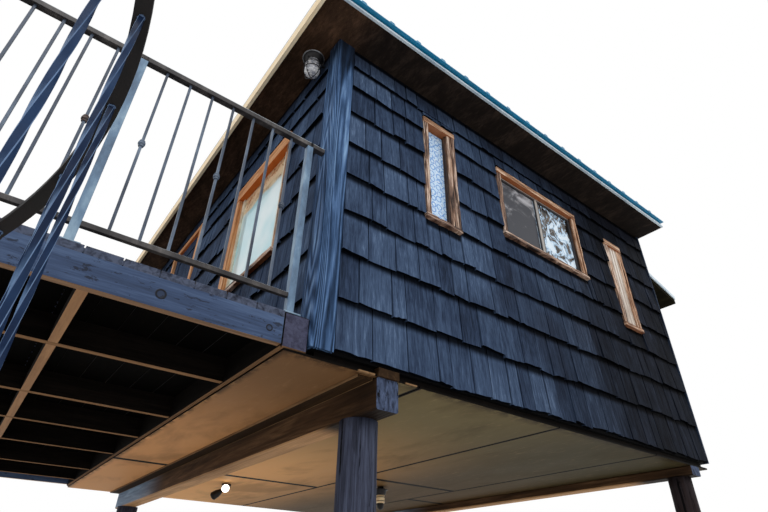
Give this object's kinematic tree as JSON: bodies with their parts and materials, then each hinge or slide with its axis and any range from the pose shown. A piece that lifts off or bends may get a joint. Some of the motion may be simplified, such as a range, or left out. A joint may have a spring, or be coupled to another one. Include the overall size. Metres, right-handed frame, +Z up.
{
  "type": "raised cabin",
  "caption": "Shingled timber cabin raised on log posts, with a side deck, metal railing and a spiral stair up to it.",
  "frame": {"origin": "middle of the whole footprint, on the ground", "axes": "+Z up, +X along the long shingled wall from the deck side to the far end, -Y out of the front wall"},
  "size_m": [7.41, 6.9469, 5.007],
  "materials": {
    "post_logs": "dark stained, checked log",
    "dark_timber": "dark stained rough timber",
    "hidden_framing": "plain framing timber",
    "underside_panel": "olive painted plywood",
    "inner_floor": "plain boards",
    "charred_shakes": "charred, oiled shakes",
    "corner_board": "charred board with raised grain",
    "natural_trim": "oiled natural timber",
    "patterned_glass": "blue and white patterned",
    "grey_sash": "satin grey",
    "pale_sash": "pale cream plastic frame",
    "dark_glass": "clear, dark room behind",
    "pale_glass": "pale blind behind",
    "dark_soffit": "dark brown stained boards",
    "barge_timber": "bare tan board",
    "teal_sheet": "teal roofing sheet",
    "pale_edge": "pale edge metal",
    "painted_rim": "blue-grey paint with knots",
    "pale_blocking": "bare timber",
    "weathered_boards": "weathered dark boards",
    "rail_metal": "blue-grey satin paint",
    "stair_metal": "blue-black satin paint",
    "handrail_metal": "near-black flat bar",
    "lamp_metal": "grey cast body with clear jar"
  },
  "bodies": {
    "root": {"house_posts": "post_logs", "main_beams": "dark_timber", "floor_frame": "hidden_framing", "floor_soffit": "underside_panel", "floor_boards": "inner_floor", "side_timber": "dark_timber", "front_wall": "charred_shakes", "back_wall": "charred_shakes", "left_wall": "charred_shakes", "right_wall": "charred_shakes", "corner_boards": "corner_board", "narrow_frames": "natural_trim", "wide_frames": "natural_trim", "side_frames": "natural_trim", "door_frame": "natural_trim", "narrow_glass": "patterned_glass", "wide_sashes": "grey_sash", "side_sashes": "pale_sash", "wide_glass": "dark_glass", "side_glass": "pale_glass", "door_leaf": "charred_shakes", "roof_body": "dark_soffit", "barge_boards": "barge_timber", "roof_sheet": "teal_sheet", "roof_drip": "pale_edge", "lean_to_roof": "dark_soffit", "lean_to_sheet": "teal_sheet", "deck_rim": "painted_rim", "deck_joists": "dark_timber", "deck_blocking": "pale_blocking", "deck_boards": "weathered_boards", "deck_beam": "dark_timber", "deck_posts": "post_logs", "rail_front": "rail_metal", "rail_side": "rail_metal", "rail_back": "rail_metal", "landing_guard": "rail_metal", "landing_guard_end": "rail_metal", "stair_pole": "stair_metal", "stair_treads": "stair_metal", "stair_landing": "stair_metal", "stair_balusters": "stair_metal", "stair_handrail": "handrail_metal", "corner_lamp": "lamp_metal", "under_lights": "lamp_metal"}
  },
  "joints": []
}
